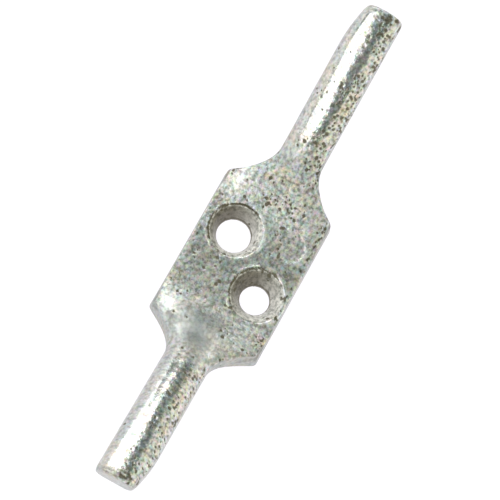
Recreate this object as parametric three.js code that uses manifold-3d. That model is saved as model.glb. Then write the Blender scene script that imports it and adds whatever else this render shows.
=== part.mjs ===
// Horn cleat: one galvanised iron casting, with a screw-down plate in the middle and a horn at each end.
//
// Millimetres. +X runs along the horns, +Y across the plate and +Z away from the mounting surface.
// The origin is the centre of the plate's flat underside. The casting looks the same after half a turn
// about Z, and every outline below is written for the distance from the middle, |x|.

import * as THREE from "three";
import { mergeVertices } from "three/addons/utils/BufferGeometryUtils.js";
import Module from "manifold-3d";

// ---- Driving dimensions ----

const LENGTH = 75; // from horn tip to horn tip

const PLATE = {
  width: 17, // at the foot, where it is widest
  straightHalf: 11.3, // the sides are straight this far each way from the middle
  shoulderAngle: 56, // degrees between the slanting ends and the long axis
  draftAngle: 5, // degrees that the walls lean in
  thickness: 3.4, // in the middle, where the screws go
  endRise: 2, // how much thicker the plate is where its ends begin
  riseFrom: 6.6, // where the top starts to rise
  riseTo: 12, // and where it has risen fully
  edgeRadius: 0.5, // rounding of the top edges
  footRadius: 0.25, // rounding of the bottom edges
};

const HORN = {
  rootX: 12, // where the horn's own shape starts
  rootZ: 3.2, // height of its centre there
  tipZ: 16.2, // height of its centre at the tip
  bow: 0.2, // 0 is a straight horn; more makes the root steeper and the tip flatter
  halfWidth: 3.28,
  above: 2.4, // from its centre up to its ridge
  below: 2.1, // from its centre down to its flatter underside
  undersideRadius: 1.1, // rounding of its bottom corners
  undersideBlend: 5, // how far out of the root that rounding takes to grow to its full size
  endRadius: 1.1, // rounding between the ridge and the flat end
};

// Where the flat top of the plate turns into the rounded top of the horn, and where that starts to square
// up again towards the tip.
const CROWNING = { from: 5.6, to: 12.5, tipFrom: 26 };
const SQUARENESS = { plate: 6, horn: 2.1, tip: 2.6 }; // of the top; 2 is an ellipse, more is squarer

// Each tip is eased away along one side only, by an arc that ends at the flat end.
const TIP_EASE = { length: 6.1, arcRadius: 20.4 };

// The holes were cast a little off the plate's diagonal, and one is smaller.
const SCREW_HOLES = [
  { x: 3.75, y: 3.1, throat: 4.9 },
  { x: -3, y: -3.93, throat: 4.2 },
];

// Each hole is countersunk at 45 degrees, then narrows down steep cast walls to its throat.
const COUNTERSINK = { diameter: 7.7, depth: 0.7, throatHeight: 0.7 };

// Two plain round rings cast on the two corners that hold no screw.
const RING_MARKS = [
  { x: 5.4, y: -4.8 },
  { x: -3.3, y: 4.2 },
];
const RING = { radius: 2.3, wireRadius: 0.4, standsUp: 0.1 };

// ---- Fineness of the facets ----

const TOP_STEPS = 18; // across the rounded top of a cross-section
const FOOT_STEPS = 3; // in each bottom corner
const HOLE_STEPS = 36;
const RING_STEPS = [6, 32]; // around the wire, around the ring

// Cross-sections stand close together where the shape turns and wide apart where it is straight. Each
// stretch runs from the end of the one before it, and the first one starts in the middle.
const STRETCHES = [
  { to: CROWNING.from, steps: 2 },
  { to: 9.8, steps: 6 },
  { to: 17.2, steps: 18 },
  { to: 31.4, steps: 7 },
  { to: LENGTH / 2 - HORN.endRadius, steps: 5 },
];
const END_TURNS = [0, 30, 55, 75, 90]; // degrees around the rounding at the tip

// ---- Blends ----

const smoothstep = THREE.MathUtils.smoothstep;

// The larger of two values, eased over a band k either side of where they cross.
function easedMax(a, b, k) {
  const h = THREE.MathUtils.clamp(0.5 + (a - b) / (2 * k), 0, 1);
  return b + (a - b) * h + k * h * (1 - h);
}

const easedMin = (a, b, k) => -easedMax(-a, -b, k);

// ---- The casting's outlines, for a distance ax from the middle ----

const HALF_LENGTH = LENGTH / 2;
const CORNER_BLEND = 0.6;
const ROOT_FILLET = 3.6;
const UNDERSIDE_FILLET = 0.9;
const RIDGE_FILLET = 0.8;
const CROWN_DEPTH = 0.8; // how much lower the walls stop where the plate's ends are crowned
const HORN_WALL_DROP = 0.3; // how far below the horn's centre its walls stop
const END_NARROWING = 0.2; // how much of the end's rounding its sides share

const hornShare = (ax) => (ax - HORN.rootX) / (HALF_LENGTH - HORN.rootX);

function hornCentre(ax) {
  const s = hornShare(ax);
  return HORN.rootZ + (HORN.tipZ - HORN.rootZ) * s * (1 + HORN.bow * (1 - s));
}

// Half the width in plan: straight side, slanting shoulder, then the horn. An inset moves the outline of
// the plate inwards by the same distance all along, as the leaning walls do towards the top.
function halfWidth(ax, inset) {
  const angle = THREE.MathUtils.degToRad(PLATE.shoulderAngle);
  const side = PLATE.width / 2 - inset;
  const shoulder =
    PLATE.width / 2 -
    (ax - PLATE.straightHalf) * Math.tan(angle) -
    inset / Math.cos(angle);
  const plate = easedMin(side, shoulder, CORNER_BLEND);
  return easedMax(plate, HORN.halfWidth, ROOT_FILLET);
}

// How far an arc of the given radius has dropped, a distance s along its starting tangent.
function arcDrop(radius, s) {
  const along = THREE.MathUtils.clamp(s, 0, radius);
  return radius - Math.sqrt(radius ** 2 - along ** 2);
}

// How far the eased side of the tip has come in.
const tipEase = (ax) =>
  arcDrop(TIP_EASE.arcRadius, ax - (HALF_LENGTH - TIP_EASE.length));

// How far the ridge and sides have come in at the rounded end.
const endRounding = (ax) =>
  arcDrop(HORN.endRadius, ax - (HALF_LENGTH - HORN.endRadius));

// Everything a cross-section needs: its half widths at the foot and at the top of its walls, its
// underside, the height where the walls stop, its ridge, how square its rounded top is, and the rounding
// of its bottom corners.
function section(x) {
  const ax = Math.abs(x);
  const rise = PLATE.endRise * smoothstep(ax, PLATE.riseFrom, PLATE.riseTo);
  const centre = hornCentre(ax);
  const rounding = endRounding(ax);
  const crowned = smoothstep(ax, CROWNING.from, CROWNING.to);
  const towardsTip = smoothstep(ax, CROWNING.tipFrom, HALF_LENGTH);

  const bottom = easedMax(0, centre - HORN.below, UNDERSIDE_FILLET);
  const walls = easedMax(
    PLATE.thickness + rise - PLATE.edgeRadius - CROWN_DEPTH * crowned,
    centre - HORN_WALL_DROP,
    RIDGE_FILLET,
  );
  const ridge =
    easedMax(PLATE.thickness + rise, centre + HORN.above, RIDGE_FILLET) -
    rounding;

  const draft = Math.tan(THREE.MathUtils.degToRad(PLATE.draftAngle));
  const halves = (inset, eased) =>
    halfWidth(ax, inset) - END_NARROWING * rounding - (eased ? tipEase(ax) : 0);
  const lean = draft * (walls - bottom);
  return {
    right: [halves(0, x < 0), halves(lean, x < 0)], // towards -Y, at the foot and above
    left: [halves(0, x > 0), halves(lean, x > 0)],
    bottom,
    walls,
    ridge,
    squareness:
      THREE.MathUtils.lerp(SQUARENESS.plate, SQUARENESS.horn, crowned) +
      (SQUARENESS.tip - SQUARENESS.horn) * towardsTip,
    foot: THREE.MathUtils.lerp(
      PLATE.footRadius,
      HORN.undersideRadius,
      smoothstep(ax, HORN.rootX, HORN.rootX + HORN.undersideBlend),
    ),
  };
}

// The closed outline of a cross-section as [y, z] pairs, anticlockwise seen from +X.
function sectionOutline(x) {
  const s = section(x);
  const outline = [];
  const corner = (side, half, from) => {
    for (let i = 0; i <= FOOT_STEPS; i++) {
      const a = from + (Math.PI / 2) * (i / FOOT_STEPS);
      outline.push([
        side * (half - s.foot) + s.foot * Math.cos(a),
        s.bottom + s.foot + s.foot * Math.sin(a),
      ]);
    }
  };
  corner(-1, s.right[0], Math.PI);
  corner(1, s.left[0], 1.5 * Math.PI);
  for (let i = 0; i <= TOP_STEPS; i++) {
    const a = Math.PI * (i / TOP_STEPS);
    const c = Math.cos(a);
    const across = Math.sign(c) * Math.abs(c) ** (2 / s.squareness);
    const up = Math.sin(a) ** (2 / s.squareness);
    const half = c > 0 ? s.left[1] : s.right[1];
    outline.push([across * half, s.walls + (s.ridge - s.walls) * up]);
  }
  return outline;
}

// Where the cross-sections stand, from one tip to the other.
function stations() {
  const half = STRETCHES.flatMap(({ to, steps }, k) => {
    const from = k > 0 ? STRETCHES[k - 1].to : 0;
    return Array.from(
      { length: steps },
      (_, i) => from + ((to - from) * i) / steps,
    );
  });
  for (const turn of END_TURNS) {
    const s = Math.sin(THREE.MathUtils.degToRad(turn)) * HORN.endRadius;
    half.push(HALF_LENGTH - HORN.endRadius + s);
  }
  return [...half.slice(1).reverse().map((x) => -x), ...half];
}

// ---- Geometry ----

// A closed skin over a row of outlines, with a fan of triangles over each end.
function loft(xs, outlineAt) {
  const outlines = xs.map(outlineAt);
  const n = outlines[0].length;
  const position = outlines.flatMap((outline, i) =>
    outline.flatMap(([y, z]) => [xs[i], y, z]),
  );
  const index = [];
  for (let i = 0; i + 1 < xs.length; i++) {
    for (let j = 0; j < n; j++) {
      const a = i * n + j;
      const b = i * n + ((j + 1) % n);
      index.push(a, b, a + n, b, b + n, a + n);
    }
  }
  for (const [row, facing] of [
    [0, -1],
    [xs.length - 1, 1],
  ]) {
    const mean = (k) =>
      outlines[row].reduce((sum, point) => sum + point[k], 0) / n;
    const centre = position.length / 3;
    position.push(xs[row], mean(0), mean(1));
    for (let j = 0; j < n; j++) {
      const a = row * n + j;
      const b = row * n + ((j + 1) % n);
      index.push(...(facing > 0 ? [centre, a, b] : [centre, b, a]));
    }
  }
  return new THREE.BufferGeometry()
    .setAttribute("position", new THREE.Float32BufferAttribute(position, 3))
    .setIndex(index);
}

// The space of a screw hole: the throat, the steep walls, the countersink and clear air above and below.
function holeCutter({ x, y, throat }) {
  const rim = PLATE.thickness;
  const rimRadius = COUNTERSINK.diameter / 2;
  const clear = 4;
  const profile = [
    [0, -clear],
    [throat / 2, -clear],
    [throat / 2, COUNTERSINK.throatHeight],
    [rimRadius - COUNTERSINK.depth, rim - COUNTERSINK.depth],
    [rimRadius, rim],
    [rimRadius, rim + clear],
    [0, rim + clear],
  ].map(([r, h]) => new THREE.Vector2(r, h));
  return new THREE.LatheGeometry(profile, HOLE_STEPS)
    .rotateX(Math.PI / 2)
    .translate(x, y, 0);
}

function ringMark({ x, y }) {
  const [around, along] = RING_STEPS;
  const centreHeight = PLATE.thickness + RING.standsUp - RING.wireRadius;
  return new THREE.TorusGeometry(RING.radius, RING.wireRadius, around, along)
    .translate(x, y, centreHeight);
}

// ---- Joining and cutting ----

const wasm = await Module();
wasm.setup();

const MERGE_DISTANCE = 1e-4;

function solid(geometry) {
  const plain = geometry.clone();
  for (const name of ["normal", "uv"]) plain.deleteAttribute(name);
  const merged = mergeVertices(plain, MERGE_DISTANCE);
  return new wasm.Manifold(
    new wasm.Mesh({
      numProp: 3,
      vertProperties: merged.attributes.position.array,
      triVerts: new Uint32Array(merged.index.array),
    }),
  );
}

function geometryOf(manifold) {
  const mesh = manifold.getMesh();
  const flat = new THREE.BufferGeometry()
    .setAttribute("position", new THREE.BufferAttribute(mesh.vertProperties, 3))
    .setIndex(new THREE.BufferAttribute(mesh.triVerts, 1))
    .toNonIndexed();
  flat.computeVertexNormals();
  return flat;
}

function casting() {
  let body = solid(loft(stations(), sectionOutline));
  for (const mark of RING_MARKS) body = body.add(solid(ringMark(mark)));
  for (const hole of SCREW_HOLES) body = body.subtract(solid(holeCutter(hole)));
  return geometryOf(body);
}

// ---- The object ----

const galvanisedIron = new THREE.MeshStandardMaterial({
  color: 0xb9bbb6,
  roughness: 0.38,
  metalness: 1,
});

const cleat = new THREE.Group();
const cleatCasting = new THREE.Mesh(casting(), galvanisedIron);
cleatCasting.name = "cleat_casting";
cleat.add(cleatCasting);

export default cleat;
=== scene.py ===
"""Horn cleat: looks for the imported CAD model.

One galvanised iron casting, drawn as a fine mesh in place of the CAD solid. The shape is a field, about
the signed distance to the surface, worked out from the same few dimensions as the CAD solid. A mesh is
drawn where the field is zero, then lumps, pits and runs of zinc are pushed into it. Lengths in the shape
functions are millimetres; the Blender mesh is in metres.
"""

import math

import bpy
import numpy as np
from mathutils import Matrix, Vector
from mathutils.kdtree import KDTree

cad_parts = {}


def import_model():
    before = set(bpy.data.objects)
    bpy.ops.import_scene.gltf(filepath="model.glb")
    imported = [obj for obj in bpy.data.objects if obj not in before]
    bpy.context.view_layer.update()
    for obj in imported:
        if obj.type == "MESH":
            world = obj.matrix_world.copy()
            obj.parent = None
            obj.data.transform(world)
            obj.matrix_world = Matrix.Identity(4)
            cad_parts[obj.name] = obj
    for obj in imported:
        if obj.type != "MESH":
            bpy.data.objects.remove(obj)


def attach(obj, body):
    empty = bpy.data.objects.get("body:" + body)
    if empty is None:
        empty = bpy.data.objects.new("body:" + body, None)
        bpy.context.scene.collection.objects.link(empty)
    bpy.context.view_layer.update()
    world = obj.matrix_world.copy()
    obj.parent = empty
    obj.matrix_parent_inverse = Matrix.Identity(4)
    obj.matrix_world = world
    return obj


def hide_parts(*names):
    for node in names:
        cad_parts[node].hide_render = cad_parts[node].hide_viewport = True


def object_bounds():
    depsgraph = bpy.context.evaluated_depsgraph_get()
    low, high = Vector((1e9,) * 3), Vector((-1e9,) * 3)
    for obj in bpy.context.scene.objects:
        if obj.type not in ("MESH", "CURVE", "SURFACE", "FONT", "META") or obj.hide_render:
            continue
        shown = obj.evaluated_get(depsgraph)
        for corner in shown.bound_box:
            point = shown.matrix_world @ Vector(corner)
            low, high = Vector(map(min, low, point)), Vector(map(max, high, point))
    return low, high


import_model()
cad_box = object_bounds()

MM = 0.001
NODE = "cleat_casting"

# ---- Driving dimensions of the casting, in millimetres, as in the CAD model ----

LENGTH = round((cad_box[1][0] - cad_box[0][0]) / MM, 3)
HALF_LENGTH = LENGTH / 2
PLATE_WIDTH = 17.0
STRAIGHT_HALF = 11.3
SHOULDER_ANGLE = math.radians(56)
DRAFT = math.tan(math.radians(5))
THICKNESS = 3.4
END_RISE = 2.0
RISE_FROM, RISE_TO = 6.6, 12.0
EDGE_RADIUS = 0.5
FOOT_RADIUS = 0.25
CORNER_BLEND, ROOT_FILLET = 0.6, 3.6
CROWNING = (5.6, 12.5)  # where the flat top of the plate turns into the rounded top of the horn
CROWN_DEPTH = 0.8
PLATE_SQUARENESS, HORN_SQUARENESS, TIP_SQUARENESS = 6, 2.1, 2.6  # of the top; 2 is an ellipse
TIP_SQUARE_FROM = 26  # distance from the middle where the horn starts to turn squarer

HORN_ROOT = (12.0, 3.2)  # distance from the middle, height of the horn's centre there
TIP_HEIGHT = 16.2
BOW = 0.2
HORN_HALF_WIDTH = 3.28
HORN_ABOVE, HORN_BELOW = 2.4, 2.1
HORN_WALL_TOP = -0.3  # height of the top of the side walls, from the horn's centre
UNDERSIDE_RADIUS = 1.1
UNDERSIDE_RUN = 5  # length of horn over which the foot's sharper edge turns into the underside's
UNDERSIDE_BLEND, TOP_BLEND = 0.9, 0.8  # how softly plate and horn run into each other, below and above
END_RADIUS = 1.1
END_NARROWING = 0.2  # share of the end's rounding that its sides follow
END_EDGE = 0.18
TIP_EASE_LENGTH, TIP_EASE_RADIUS = 6.1, 20.4

HOLES = [(3.75, 3.1, 4.9), (-3.0, -3.93, 4.2)]  # x, y, throat diameter
RIM_RADIUS = 7.7 / 2
COUNTERSINK_DEPTH = 0.7
THROAT_HEIGHT = 0.7
HOLE_REACH = 0.4  # how far past its rim a hole still widens, above the plate
THROAT_BLEND, HOLE_EDGE = 0.15, 0.12
HOLE_STEEPNESS = 0.85  # evens out the field on the sloping wall of a hole

RINGS = [(5.4, -4.8, 0.12), (-3.3, 4.2, 0.05)]  # x, y, how far its -Y side stands up through the zinc
RING_RADIUS = 2.3
RING_WIRE = 0.4
RING_BLEND = 0.25

TOP_MARGIN = 0.3  # what lies less than this below the flat top counts as the top

# The top of the shoulder at -X, -Y keeps a crisp edge, which the CAD solid leaves out. The three ranges
# say where it fades in along the cleat, where it fades in across it, and where it fades out along the horn.
CRISP_LENGTHWISE, CRISP_ACROSS, CRISP_STOP = (7, 10), (1.5, 4), (14, 17)
CRISP_SQUARENESS = 4.0  # added to the squareness there

CELL = 0.2  # edge of the cubes that the mesh is drawn on
TINY = 1e-6  # keeps divisions finite


# ---- Blends ----


def smoothstep(x, low, high):
    t = np.clip((x - low) / (high - low), 0, 1)
    return t * t * (3 - 2 * t)


def eased_max(a, b, k):
    """The larger of two values, eased over a band k either side of where they cross."""
    h = np.clip(0.5 + (a - b) / (2 * k), 0, 1)
    return b + (a - b) * h + k * h * (1 - h)


def eased_min(a, b, k):
    return -eased_max(-a, -b, k)


def round_max(a, b, radius):
    """Two fields cut together, with their edge rounded to the radius."""
    a, b = a + radius, b + radius
    outside = np.hypot(np.maximum(a, 0), np.maximum(b, 0))
    return np.minimum(np.maximum(a, b), 0) + outside - radius


def arc_drop(radius, s):
    """How far a quarter circle has dropped at the distance s along it, from 0 to its radius."""
    along = np.clip(s, 0, radius)
    return radius - np.sqrt(radius**2 - along**2)


# ---- The casting as a field ----


def half_width(ax, inset):
    """Half the casting's width, with its sides moved in by the inset."""
    side = PLATE_WIDTH / 2 - inset
    shoulder = (
        PLATE_WIDTH / 2
        - (ax - STRAIGHT_HALF) * math.tan(SHOULDER_ANGLE)
        - inset / math.cos(SHOULDER_ANGLE)
    )
    return eased_max(eased_min(side, shoulder, CORNER_BLEND), HORN_HALF_WIDTH, ROOT_FILLET)


def body_field(x, y, z):
    """Negative inside the casting before its holes are cut, positive outside."""
    ax = np.abs(x)
    share = (ax - HORN_ROOT[0]) / (HALF_LENGTH - HORN_ROOT[0])
    centre = HORN_ROOT[1] + (TIP_HEIGHT - HORN_ROOT[1]) * share * (1 + BOW * (1 - share))
    rise = END_RISE * smoothstep(ax, RISE_FROM, RISE_TO)
    rounding = arc_drop(END_RADIUS, ax - (HALF_LENGTH - END_RADIUS))
    crowned = smoothstep(ax, *CROWNING)
    crisp = smoothstep(-x, *CRISP_LENGTHWISE) * smoothstep(-y, *CRISP_ACROSS)
    crisp = crisp * (1 - smoothstep(ax, *CRISP_STOP))

    bottom = eased_max(0 * ax, centre - HORN_BELOW, UNDERSIDE_BLEND)
    drop = CROWN_DEPTH * crowned * (1 - crisp)
    walls = eased_max(THICKNESS + rise - EDGE_RADIUS - drop, centre + HORN_WALL_TOP, TOP_BLEND)
    ridge = eased_max(THICKNESS + rise, centre + HORN_ABOVE, TOP_BLEND) - rounding

    ease = np.where(x * y > 0, arc_drop(TIP_EASE_RADIUS, ax - (HALF_LENGTH - TIP_EASE_LENGTH)), 0)
    come_in = END_NARROWING * rounding + ease
    foot_half = half_width(ax, 0) - come_in
    top_half = half_width(ax, DRAFT * (walls - bottom)) - come_in
    squareness = PLATE_SQUARENESS + (HORN_SQUARENESS - PLATE_SQUARENESS) * crowned
    towards_tip = smoothstep(ax, TIP_SQUARE_FROM, HALF_LENGTH)
    squareness = squareness + (TIP_SQUARENESS - HORN_SQUARENESS) * towards_tip
    squareness = squareness + CRISP_SQUARENESS * crisp * crowned
    underneath = smoothstep(ax, HORN_ROOT[0], HORN_ROOT[0] + UNDERSIDE_RUN)
    foot_radius = FOOT_RADIUS + (UNDERSIDE_RADIUS - FOOT_RADIUS) * underneath

    # Walls below, a squarish dome above.
    down = np.clip((walls - z) / (walls - bottom), 0, 1)
    wall = np.abs(y) - (top_half + (foot_half - top_half) * down)
    across = np.abs(y) / top_half
    up = np.maximum(z - walls, 0) / (ridge - walls)
    reach = (across**squareness + up**squareness) ** (1 / squareness)
    reach = np.maximum(reach, TINY)
    slope = np.hypot(
        (across / reach) ** (squareness - 1) / top_half,
        (up / reach) ** (squareness - 1) / (ridge - walls),
    )
    dome = (reach - 1) / np.maximum(slope, TINY)
    side = np.where(z > walls, dome, wall)
    field = round_max(side, bottom - z, foot_radius)
    return round_max(field, ax - HALF_LENGTH, END_EDGE)


def hole_field(x, y, z, hole):
    """Negative in a screw hole, positive in the metal around it."""
    hx, hy, throat = hole
    radius = np.hypot(x - hx, y - hy)
    knee = THICKNESS - COUNTERSINK_DEPTH
    steep = (RIM_RADIUS - COUNTERSINK_DEPTH - throat / 2) / (knee - THROAT_HEIGHT)
    wide = throat / 2 + steep * (z - THROAT_HEIGHT)
    wide = eased_max(wide, throat / 2 + 0 * z, THROAT_BLEND)
    wide = eased_max(wide, RIM_RADIUS - COUNTERSINK_DEPTH + (z - knee), HOLE_EDGE)
    return (radius - np.minimum(wide, RIM_RADIUS + HOLE_REACH)) * HOLE_STEEPNESS


def ring_field(x, y, z, ring):
    """Negative inside the wire of a slightly tilted ring that lies in the top of the plate."""
    rx, ry, stands = ring
    from_circle = np.hypot(x - rx, y - ry) - RING_RADIUS
    tilted = stands * (ry - y) / RING_RADIUS
    return np.hypot(from_circle, z - (THICKNESS + tilted - RING_WIRE)) - RING_WIRE


def casting_field(x, y, z):
    field = body_field(x, y, z)
    for ring in RINGS:
        field = eased_min(field, ring_field(x, y, z, ring), RING_BLEND)
    for hole in HOLES:
        field = eased_max(field, -hole_field(x, y, z, hole), HOLE_EDGE)
    return field


# ---- Drawing the mesh ----


def surface_net(field, low, high, cell):
    """Vertices and quads of the surface where the field is zero: one vertex per cube that it crosses."""
    axes = [np.arange(a, b + cell, cell) for a, b in zip(low, high)]
    size = [len(a) for a in axes]
    value = np.empty(size, np.float32)
    for i, x in enumerate(axes[0]):
        value[i] = field(x, axes[1][:, None], axes[2][None, :])
    inside = value < 0

    total = np.zeros([s - 1 for s in size] + [3], np.float32)
    count = np.zeros([s - 1 for s in size], np.int8)
    crossings = []
    for axis in range(3):
        start = tuple(slice(None, -1) if k == axis else slice(None) for k in range(3))
        stop = tuple(slice(1, None) if k == axis else slice(None) for k in range(3))
        index = np.argwhere(inside[start] != inside[stop])
        a = value[start][tuple(index.T)]
        b = value[stop][tuple(index.T)]
        point = index.astype(np.float32)
        point[:, axis] += a / (a - b)
        crossings.append((axis, index, inside[start][tuple(index.T)]))
        others = [k for k in range(3) if k != axis]
        for da in (0, 1):
            for db in (0, 1):
                cube = index.copy()
                cube[:, others[0]] -= da
                cube[:, others[1]] -= db
                np.add.at(total, tuple(cube.T), point)
                np.add.at(count, tuple(cube.T), 1)

    used = count > 0
    number = np.full(count.shape, -1, np.int64)
    number[used] = np.arange(used.sum())
    vertices = total[used] / count[used][:, None] * cell + np.array(low)

    quads = []
    for axis, index, from_inside in crossings:
        a, b = (axis + 1) % 3, (axis + 2) % 3
        ring = []
        for da, db in ((1, 1), (0, 1), (0, 0), (1, 0)):
            cube = index.copy()
            cube[:, a] -= da
            cube[:, b] -= db
            ring.append(number[tuple(cube.T)])
        quad = np.stack(ring, 1)
        quad[~from_inside] = quad[~from_inside][:, ::-1]
        quads.append(quad)
    return vertices, np.concatenate(quads)


def gradient(field, p, step=0.02):
    """The field's slope at each point, from its values a step to either side."""
    out = np.empty_like(p)
    for k in range(3):
        d = np.zeros(3)
        d[k] = step
        out[:, k] = (field(*(p + d).T) - field(*(p - d).T)) / (2 * step)
    return out


def settle(field, p, rounds=4):
    """Moves the vertices onto the surface."""
    for _ in range(rounds):
        g = gradient(field, p)
        steepness = np.maximum((g**2).sum(1), 0.05)  # keeps a step finite where the field is level
        shift = -field(*p.T)[:, None] * g / steepness[:, None]
        p = p + np.clip(shift, -0.5 * CELL, 0.5 * CELL)
    return p


# ---- The cast and zinc-coated surface ----

LUMPS = [(0.036, 3.1), (0.016, 1.3), (0.007, 0.62)]  # height and spread of each size of lump
PIT_COUNT, PIT_SPACING, PIT_RADII, PIT_DEPTH = 420, 0.4, (0.22, 0.47), 0.07
LIP_HEIGHT, BLOB_HEIGHT = 0.14, 0.1
DROOP_DEPTH = 0.24
INSET = 0.02  # keeps the highest lumps from standing out past the CAD solid
SHADED_SIDE = (0.5, 0.87)  # the direction, from the middle of a screw hole, of its shaded side, where shade is painted on its walls and rim


def lattice_noise(p, seed):
    """Smooth noise between about -1 and 1, with one bump or dip per unit of length."""
    rng = np.random.default_rng(seed)
    table = rng.permutation(256)
    slopes = rng.normal(size=(256, 3))
    slopes /= np.linalg.norm(slopes, axis=1)[:, None]
    cell = np.floor(p).astype(int)
    local = p - cell
    fade = local**3 * (local * (local * 6 - 15) + 10)
    total = np.zeros(len(p))
    for corner in np.ndindex(2, 2, 2):
        node = (cell + corner) & 255
        pick = table[(table[(table[node[:, 0]] + node[:, 1]) & 255] + node[:, 2]) & 255]
        weight = np.prod(np.where(np.array(corner), fade, 1 - fade), axis=1)
        total += weight * ((local - corner) * slopes[pick]).sum(1)
    return total * 1.6  # brings the usual range to -1 to 1


def scattered(p, weight, count, spacing, rng):
    """Up to count of the points, picked by weight and at least spacing apart."""
    order = rng.choice(len(p), size=min(len(p), count * 6), replace=False, p=weight / weight.sum())
    chosen = np.empty((0, 3))
    for i in order:
        if len(chosen) >= count:
            break
        if len(chosen) == 0 or ((chosen - p[i]) ** 2).sum(1).min() > spacing**2:
            chosen = np.vstack([chosen, p[i]])
    return chosen


def spots(p, centres, radii):
    """For every point, how deep it is in the nearest spots: 1 at a centre, 0 outside."""
    tree = KDTree(len(p))
    for i, point in enumerate(p):
        tree.insert(point, i)
    tree.balance()
    depth = np.zeros(len(p))
    for centre, radius in zip(centres, radii):
        for _, i, distance in tree.find_range(centre, radius):
            depth[i] = max(depth[i], (1 - (distance / radius) ** 2) ** 2)
    return depth


def near(value, centre, reach):
    """1 where the value is at the centre, and almost 0 from two reaches away."""
    return np.exp(-(((value - centre) / reach) ** 2))


def patch(p, centre, reach):
    """1 at a place (x, y) on the casting, and almost 0 from two reaches away."""
    return np.exp(
        -(((p[:, 0] - centre[0]) / reach[0]) ** 2) - ((p[:, 1] - centre[1]) / reach[1]) ** 2
    )


def around(p, x, y):
    """Each point's distance from an upright axis, and how far to its shaded side it lies (1 to -1)."""
    dx, dy = p[:, 0] - x, p[:, 1] - y
    radius = np.hypot(dx, dy)
    return radius, (SHADED_SIDE[0] * dx + SHADED_SIDE[1] * dy) / np.maximum(radius, 0.1)


def smooth_saddle(p):
    """1 on the smoothly flowed zinc above the -X end of the plate, 0 elsewhere."""
    return patch(p, (-12.2, 1.5), (3.8, 5.5))


def painted_highlight_spots(p):
    """1 where highlights are painted: on the two +Y corners, and in arcs on the -Y side of the holes and of
    a ring.
    """
    painted_highlight = np.maximum(patch(p, (10.3, 6.2), (1.9, 1.0)), patch(p, (-10.3, 6.3), (1.6, 1.0)))
    arcs = [(x, y, RIM_RADIUS + 0.3) for x, y, _ in HOLES] + [(*RINGS[0][:2], RING_RADIUS)]
    for x, y, arc_radius in arcs:
        radius = np.hypot(p[:, 0] - x, p[:, 1] - y)
        facing = np.clip(1.2 * (y - p[:, 1]) / np.maximum(radius, 0.1), 0, 1)
        painted_highlight = np.maximum(painted_highlight, facing * near(radius, arc_radius, 0.19))
    return painted_highlight * (p[:, 2] > THICKNESS - TOP_MARGIN)


def painted_highlight_mask(p):
    """1 where the zinc is painted palest: the painted highlight spots, and a painted lighter patch, the -Y
    lamp's reflection, on the -Y side of the -X end.
    """
    painted_lighter_patch = 0.5 * patch(p, (-15.0, -1.5), (2.5, 1.0)) + 0.3 * patch(p, (-10.0, -5.0), (2.0, 1.6))
    broken = np.clip(0.8 + 0.9 * lattice_noise(p / 0.8, 7), 0.2, 1)
    return np.maximum(painted_highlight_spots(p) * broken, painted_lighter_patch * (p[:, 2] > THICKNESS - TOP_MARGIN))


def painted_shade_mask(p):
    """1 where shade is painted on the zinc: in the middle of the -X saddle and at its foot, 0 elsewhere."""
    foot = 0.9 * patch(p, (-9.6, -0.5), (2.0, 2.8))
    return np.maximum(patch(p, (-13.5, 1.3), (4.0, 1.6)), foot)


def droop(p):
    """How far the zinc on the raised ends of the plate falls away towards their long edges."""
    ax, ay = np.abs(p[:, 0]), np.abs(p[:, 1])
    raised = smoothstep(ax, 7.5, 10) * (1 - smoothstep(ax, 12.5, 14.5)) * (p[:, 2] > THICKNESS)
    return DROOP_DEPTH * raised * smoothstep(ay, 3.5, PLATE_WIDTH / 2)


def hole_walls_with_shade(p):
    """1 on the walls of the screw holes, less away from their shaded side, 0 elsewhere; the higher values
    paint shade on the walls.
    """
    inside = np.zeros(len(p))
    for hx, hy, _ in HOLES:
        radius, toward_shade = around(p, hx, hy)
        wall = 1 - smoothstep(radius, RIM_RADIUS - 0.25, RIM_RADIUS + 0.1)
        inside = np.maximum(inside, (0.68 + 0.32 * toward_shade) * wall)
    below_rim = 1 - smoothstep(p[:, 2], THICKNESS - TOP_MARGIN, THICKNESS + 0.15)
    return inside * below_rim * (p[:, 2] > 0.05)


def burrs(p):
    """The height of the uneven lips around the screw holes, and of a small blob in one ring."""
    height = BLOB_HEIGHT * np.exp(-((p[:, 0] - 5.3) ** 2 + (p[:, 1] + 5.3) ** 2) / 0.3)
    for hx, hy, _ in HOLES:
        radius = np.hypot(p[:, 0] - hx, p[:, 1] - hy)
        uneven = np.clip(0.75 + lattice_noise(p / 1.7, 5), 0, 1.5)
        height += LIP_HEIGHT * near(radius - RIM_RADIUS, 0.22, 0.17) * uneven
    return height * (np.abs(p[:, 2] - THICKNESS) < 0.5)


def rim_shade_and_dark_lines(p):
    """1 for painted shade along the rims, strongest on their shaded side, and the throats of the screw
    holes; less for mottled dark lines along the plate's long edges and at the tips.
    """
    ax, ay = np.abs(p[:, 0]), np.abs(p[:, 1])
    lines = np.zeros(len(p))
    for hx, hy, throat in HOLES:
        radius, toward_shade = around(p, hx, hy)
        rim = near(radius - RIM_RADIUS, 0.03, 0.21) * (p[:, 2] > THICKNESS - 0.4)
        rim *= np.clip(0.55 + 0.7 * toward_shade, 0.15, 1)
        low = near(p[:, 2], THROAT_HEIGHT, 0.35) * (radius < throat / 2 + 0.4)
        lines = np.maximum(lines, np.maximum(rim, low))
    tips = near(ax, HALF_LENGTH - 1.1, 0.8) * smoothstep(-p[:, 1], -2.5, 1)
    edges = near(ay, PLATE_WIDTH / 2 - 0.85, 0.22)
    edges *= (ax < STRAIGHT_HALF) * (p[:, 2] > THICKNESS - TOP_MARGIN) * (1 - 0.35 * (p[:, 1] > 0))
    mottled = np.clip(0.35 + 1.3 * lattice_noise(p / 0.7, 6), 0, 1)
    return np.maximum(lines, mottled * np.maximum(tips, edges))


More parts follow.
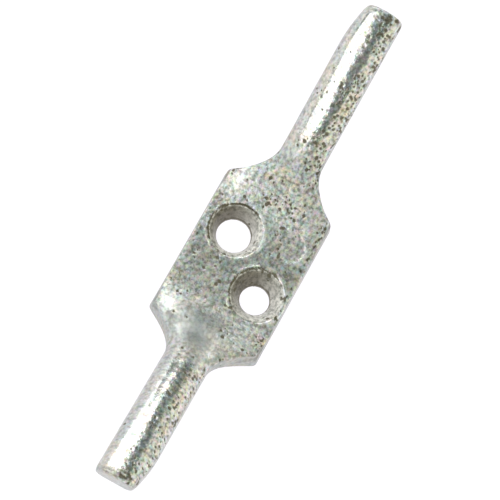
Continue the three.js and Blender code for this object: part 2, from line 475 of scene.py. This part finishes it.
def speckled_zinc(p, normal, on_horn):
    """1 on rough, speckled zinc, and less on the -X saddle, the sides and the +Y side of the horns; where
    it is less, the colour is painted darker, as shade.
    """
    steep = 1 - smoothstep(normal[:, 2], 0.2, 0.6)
    left_of_horn = on_horn * smoothstep(p[:, 1], 0.3, 1.8)
    return 1 - np.maximum(0.75 * smooth_saddle(p), np.maximum(0.6 * steep, 0.45 * left_of_horn))


def pit_weight(p, normal, on_horn, speckled):
    """How likely a pit is at each vertex."""
    patchy = np.clip(0.5 + 1.6 * lattice_noise(p / 2.2, 4), 0.03, None) ** 2
    weight = patchy * (1 - painted_highlight_spots(p)) * np.maximum(speckled - 0.3, 0)
    weight *= 0.35 + (normal[:, 2] > -0.2)
    weight *= 0.5 + 1.3 * smoothstep(p[:, 0], 5, 12)
    weight *= 1 + on_horn * (2.2 * smoothstep(-p[:, 1], -0.3, 1) - 0.65)
    weight *= 1 + 2 * near(p[:, 1], -7.2, 0.7) * (np.abs(p[:, 0]) < STRAIGHT_HALF)
    return weight


def dullness(p, hole):
    """1 on satin zinc and 0 on shiny zinc. The plate, the horns' roots and the tips' ends are satin."""
    ax = np.abs(p[:, 0])
    dull = 1 - smoothstep(ax + 2 * (p[:, 0] < 0), HORN_ROOT[0] + 3, HORN_ROOT[0] + 9)
    dull *= (1 - 0.6 * hole) * (1 - 0.4 * smooth_saddle(p)) * (1 - 0.4 * near(p[:, 0], 0, 5.5))
    dull += 0.55 * near(p[:, 0], 14.5, 2.5) + 0.3 * near(p[:, 0], -15.5, 2.0)
    return np.maximum(dull, near(ax, HALF_LENGTH - 0.6, 0.6))


def roughened(p, normal):
    """The vertices with lumps and pits pushed in, and the attributes that the material reads."""
    rng = np.random.default_rng(11)
    on_horn = smoothstep(np.abs(p[:, 0]), HORN_ROOT[0], HORN_ROOT[0] + 6)
    speckled = speckled_zinc(p, normal, on_horn)
    hole = hole_walls_with_shade(p)
    weight = pit_weight(p, normal, on_horn, speckled)
    centres = scattered(p, weight, PIT_COUNT, PIT_SPACING, rng)
    smallest, largest = PIT_RADII
    pit = spots(p, centres, smallest + (largest - smallest) * rng.random(len(centres)) ** 2)

    lumps = np.zeros(len(p))
    for seed, (height, spread) in enumerate(LUMPS, start=1):
        lumps += height * lattice_noise(p / spread, seed)
    above_foot = smoothstep(p[:, 2], 0.0, 0.5)
    shift = (lumps * speckled - PIT_DEPTH * pit) * above_foot + burrs(p) - droop(p) - INSET
    low, high = np.array(cad_box[0]) / MM, np.array(cad_box[1]) / MM
    attributes = {
        "pit": pit,
        "hole": hole,
        "rim_shade_and_dark_lines": rim_shade_and_dark_lines(p),
        "speckled": speckled,
        "dull": dullness(p, hole),
        "painted_highlight": painted_highlight_mask(p),
        "painted_shade": painted_shade_mask(p),
    }
    return np.clip(p + normal * shift[:, None], low, high), attributes


# ---- Making the piece ----


def mesh_object(name, vertices, quads, attributes):
    mesh = bpy.data.meshes.new(name)
    mesh.vertices.add(len(vertices))
    mesh.vertices.foreach_set("co", (vertices * MM).astype(np.float32).ravel())
    mesh.loops.add(len(quads) * 4)
    mesh.loops.foreach_set("vertex_index", quads.astype(np.int32).ravel())
    mesh.polygons.add(len(quads))
    mesh.polygons.foreach_set("loop_start", np.arange(0, len(quads) * 4, 4, dtype=np.int32))
    mesh.polygons.foreach_set("use_smooth", np.ones(len(quads), bool))
    for label, values in attributes.items():
        layer = mesh.attributes.new(label, "FLOAT", "POINT")
        layer.data.foreach_set("value", values.astype(np.float32))
    mesh.update()
    mesh.validate()
    obj = bpy.data.objects.new(name, mesh)
    bpy.context.scene.collection.objects.link(obj)
    return obj


def casting_mesh():
    """The whole casting, drawn, settled onto its surface and roughened."""
    margin = 2 * CELL
    low = [cad_box[0][k] / MM - margin for k in range(3)]
    high = [cad_box[1][k] / MM + margin for k in range(3)]
    vertices, quads = surface_net(casting_field, low, high, CELL)
    vertices = settle(casting_field, vertices.astype(np.float64))
    normal = gradient(casting_field, vertices)
    normal /= np.linalg.norm(normal, axis=1)[:, None]
    vertices, attributes = roughened(vertices, normal)
    return mesh_object("casting", vertices, quads, attributes)


# ---- Material ----


class Nodes:
    """Short ways to add shader nodes to a material."""

    def __init__(self, material):
        material.use_nodes = True
        self.tree = material.node_tree
        self.shader = self.tree.nodes["Principled BSDF"]

    def add(self, kind, **settings):
        node = self.tree.nodes.new(kind)
        for key, value in settings.items():
            setattr(node, key, value)
        return node

    def link(self, out, into):
        self.tree.links.new(out, into)

    def feed(self, value, socket):
        """A number or colour sets the socket, and anything else is linked to it."""
        if isinstance(value, bpy.types.NodeSocket):
            self.tree.links.new(value, socket)
        elif isinstance(value, tuple):
            socket.default_value = (*value, 1)
        else:
            socket.default_value = value

    def millimetres(self):
        mapping = self.add("ShaderNodeMapping")
        mapping.inputs["Scale"].default_value = (1 / MM, 1 / MM, 1 / MM)
        self.link(self.add("ShaderNodeTexCoord").outputs["Object"], mapping.inputs["Vector"])
        return mapping.outputs["Vector"]

    def noise(self, place, scale, detail, roughness=0.5):
        node = self.add("ShaderNodeTexNoise")
        self.link(place, node.inputs["Vector"])
        node.inputs["Scale"].default_value = scale
        node.inputs["Detail"].default_value = detail
        node.inputs["Roughness"].default_value = roughness
        return node

    def attribute(self, label):
        return self.add("ShaderNodeAttribute", attribute_name=label).outputs["Fac"]

    def ramp(self, factor, *stops):
        node = self.add("ShaderNodeValToRGB")
        self.link(factor, node.inputs["Fac"])
        elements = node.color_ramp.elements
        while len(elements) < len(stops):
            elements.new(0.5)
        for element, (position, colour) in zip(elements, stops):
            element.position = position
            element.color = (*colour, 1)
        return node.outputs["Color"]

    def mix(self, factor, a, b, blend="MIX"):
        node = self.add("ShaderNodeMix", data_type="RGBA", blend_type=blend, clamp_result=True)
        self.feed(factor, node.inputs[0])
        self.feed(a, node.inputs[6])
        self.feed(b, node.inputs[7])
        return node.outputs[2]

    def multiply(self, factor, a, b):
        return self.mix(factor, a, b, "MULTIPLY")

    def math(self, operation, a, b, clamp=False):
        node = self.add("ShaderNodeMath", operation=operation, use_clamp=clamp)
        self.feed(a, node.inputs[0])
        self.feed(b, node.inputs[1])
        return node.outputs[0]

    def vector(self, operation, a, b, c):
        node = self.add("ShaderNodeVectorMath", operation=operation)
        self.link(a, node.inputs[0])
        node.inputs[1].default_value = b
        node.inputs[2].default_value = c
        return node.outputs[0]

    def bump(self, height, distance):
        node = self.add("ShaderNodeBump")
        node.inputs["Distance"].default_value = distance
        self.link(height, node.inputs["Height"])
        return node.outputs["Normal"]


def zinc_colour(n, place, grain, wall):
    """Mottled zinc with painted highlights and painted shade, pits, dark lines, and bare walls in the screw
    holes darkened as painted shade.
    """
    tint = n.noise(place, 0.35, 3).outputs["Fac"]
    chroma = n.noise(place, 1.7, 3).outputs["Color"]
    speckled = n.attribute("speckled")

    colour = n.ramp(
        tint,
        (0.36, (0.52, 0.55, 0.52)),
        (0.50, (0.56, 0.56, 0.53)),
        (0.66, (0.60, 0.565, 0.49)),
    )
    speckle = n.vector("MULTIPLY_ADD", chroma, (0.85, 0.6, 1.0), (0.575, 0.70, 0.50))
    colour = n.multiply(speckled, colour, speckle)
    # Painted shade: the colour is darkened where the speckle is less, on the -X saddle, the steep sides and
    # the +Y side of the horns.
    colour = n.multiply(n.math("SUBTRACT", 1.0, speckled), colour, (0.72, 0.73, 0.74))
    # Painted shade on the middle of the -X saddle and at its foot.
    colour = n.multiply(n.attribute("painted_shade"), colour, (0.68, 0.69, 0.70))

    # The screw holes' walls: duller zinc, darkened as painted shade towards their shaded side.
    wall_colour_and_shade = n.ramp(n.attribute("hole"), (0.5, (0.72, 0.70, 0.65)), (0.98, (0.20, 0.18, 0.145)))
    colour = n.mix(wall, colour, wall_colour_and_shade)
    shade = n.ramp(
        grain,
        (0.37, (0.52, 0.53, 0.50)),
        (0.49, (0.96, 0.96, 0.96)),
        (0.62, (1.36, 1.36, 1.36)),
    )
    colour = n.multiply(speckled, colour, shade)
    # Painted highlights: paler colour added on the +Y corners, in arcs beside the holes and a ring, and on
    # a patch at the -X end.
    pale = n.math("MULTIPLY", n.attribute("painted_highlight"), 0.8)
    colour = n.mix(pale, colour, (0.50, 0.51, 0.51), "ADD")

    # Dark brown from the zinc's own pits and grain specks, and from the painted shade at the screw holes
    # and the dark lines along edges and tips.
    stain_and_shade = n.math("ADD", n.attribute("pit"), n.math("MULTIPLY", n.attribute("rim_shade_and_dark_lines"), 0.7))
    specks = n.math("MULTIPLY", n.math("SUBTRACT", 0.5, grain), n.math("MULTIPLY", speckled, 1.1))
    stain_and_shade = n.math("ADD", stain_and_shade, specks)
    stain_and_shade_mix = n.ramp(stain_and_shade, (0.24, (0, 0, 0)), (0.55, (0.9, 0.9, 0.9)))
    return n.mix(stain_and_shade_mix, colour, (0.11, 0.095, 0.055))


def galvanised():
    """Pale zinc: mottled in tint, grainy, pitted, and dull inside the screw holes."""
    material = bpy.data.materials.new("galvanised_iron")
    n = Nodes(material)
    place = n.millimetres()
    grain = n.noise(place, 1.9, 4, 0.6).outputs["Fac"]
    fine = n.noise(place, 4.0, 2).outputs["Fac"]
    wall = n.math("MULTIPLY", n.attribute("hole"), 2.2, clamp=True)
    n.link(zinc_colour(n, place, grain, wall), n.shader.inputs["Base Color"])

    bare = n.math("ADD", n.math("MULTIPLY", n.attribute("pit"), 0.7), n.math("MULTIPLY", wall, 0.6))
    n.link(n.math("SUBTRACT", 1.0, bare, clamp=True), n.shader.inputs["Metallic"])

    satin = n.attribute("dull")
    rough = n.math("ADD", n.math("MULTIPLY", fine, 0.24), n.math("MULTIPLY", bare, 0.35))
    rough = n.math("ADD", rough, n.math("MULTIPLY", satin, 0.31))
    n.link(n.math("ADD", rough, 0.06), n.shader.inputs["Roughness"])

    height = n.math("ADD", grain, n.math("MULTIPLY", fine, 0.3))
    relief = n.math("ADD", n.math("MULTIPLY", satin, 0.78), 0.22)
    height = n.math("MULTIPLY", height, n.math("MULTIPLY", n.attribute("speckled"), relief))
    n.link(n.bump(height, 0.11 * MM), n.shader.inputs["Normal"])
    return material


# ---- Studio ----

LIGHT_DISTANCE = 0.8


def softbox(name, azimuth, elevation, size, radiance, colour=(1.0, 1.0, 1.0)):
    """A rectangular light that faces the cleat, its long side level. Azimuth 0 is over +X, 90 over +Y."""
    a, e = math.radians(azimuth), math.radians(elevation)
    place = LIGHT_DISTANCE * Vector((math.cos(e) * math.cos(a), math.cos(e) * math.sin(a), math.sin(e)))
    data = bpy.data.lights.new(name, "AREA")
    data.shape = "RECTANGLE"
    data.size, data.size_y = size
    data.energy = radiance * math.pi * size[0] * size[1]
    data.color = colour
    light = bpy.data.objects.new(name, data)
    bpy.context.scene.collection.objects.link(light)
    light.location = place
    light.rotation_euler = (-place).to_track_quat("-Z", "Y").to_euler()


def studio():
    softbox("left_softbox", 26, 34, (0.49, 0.39), 2.9)
    softbox("left_low_softbox", 38, 15, (0.18, 0.13), 1.7)
    softbox("side_softbox", 75, 14, (1.52, 0.56), 1.04, (1.0, 0.98, 1.0))
    softbox("back_left_softbox", 134, 51, (0.62, 0.50), 2.5)
    softbox("front_softbox", 180, 12, (1.0, 0.42), 0.5)
    softbox("right_softbox", -88, 25, (3.0, 1.10), 0.72, (1.0, 0.96, 0.84))


def floor():
    """A wide, pale, evenly glowing plane just under the cleat."""
    bpy.ops.mesh.primitive_plane_add(size=6, location=(0, 0, -0.02 * MM))
    plane = bpy.context.object
    plane.name = "floor"
    material = bpy.data.materials.new("pale_floor")
    n = Nodes(material)
    n.shader.inputs["Base Color"].default_value = (0.1, 0.1, 0.1, 1)
    n.shader.inputs["Roughness"].default_value = 0.9
    n.shader.inputs["Emission Color"].default_value = (0.975, 0.96, 1, 1)
    n.shader.inputs["Emission Strength"].default_value = 1.0
    plane.data.materials.append(material)


def world():
    """Even, dim, slightly green light from all round."""
    w = bpy.data.worlds.new("studio")
    bpy.context.scene.world = w
    w.use_nodes = True
    background = w.node_tree.nodes["Background"]
    background.inputs["Color"].default_value = (0.88, 1.0, 0.95, 1)
    background.inputs["Strength"].default_value = 0.335


def camera():
    """Stands over the -X end, looks steeply down, and is turned so that +X runs up to the right."""
    elevation, azimuth, turn = math.radians(74), math.radians(3.8), math.radians(25.62)
    distance = 0.3216
    target = Vector((0, 0, 2.25 * MM))
    towards = Vector(
        (
            -math.cos(elevation) * math.cos(azimuth),
            -math.cos(elevation) * math.sin(azimuth),
            math.sin(elevation),
        )
    )
    data = bpy.data.cameras.new("camera")
    data.sensor_width = 36
    data.lens = 166.07
    data.clip_start, data.clip_end = 0.01, 20
    data.shift_x, data.shift_y = 0.017, 0.0317
    cam = bpy.data.objects.new("camera", data)
    bpy.context.scene.collection.objects.link(cam)
    right = (-towards).cross(Vector((0, 0, 1))).normalized()
    up = right.cross(-towards)
    x_axis = right * math.cos(turn) + up * math.sin(turn)
    y_axis = up * math.cos(turn) - right * math.sin(turn)
    cam.matrix_world = (
        Matrix.Translation(target + towards * distance)
        @ Matrix((x_axis, y_axis, towards)).transposed().to_4x4()
    )
    bpy.context.scene.camera = cam


# ---- The scene ----

bpy.context.scene.view_settings.view_transform = "Standard"
camera()
world()
floor()
studio()

casting = casting_mesh()
casting.data.materials.append(galvanised())
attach(casting, "root")
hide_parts(NODE)
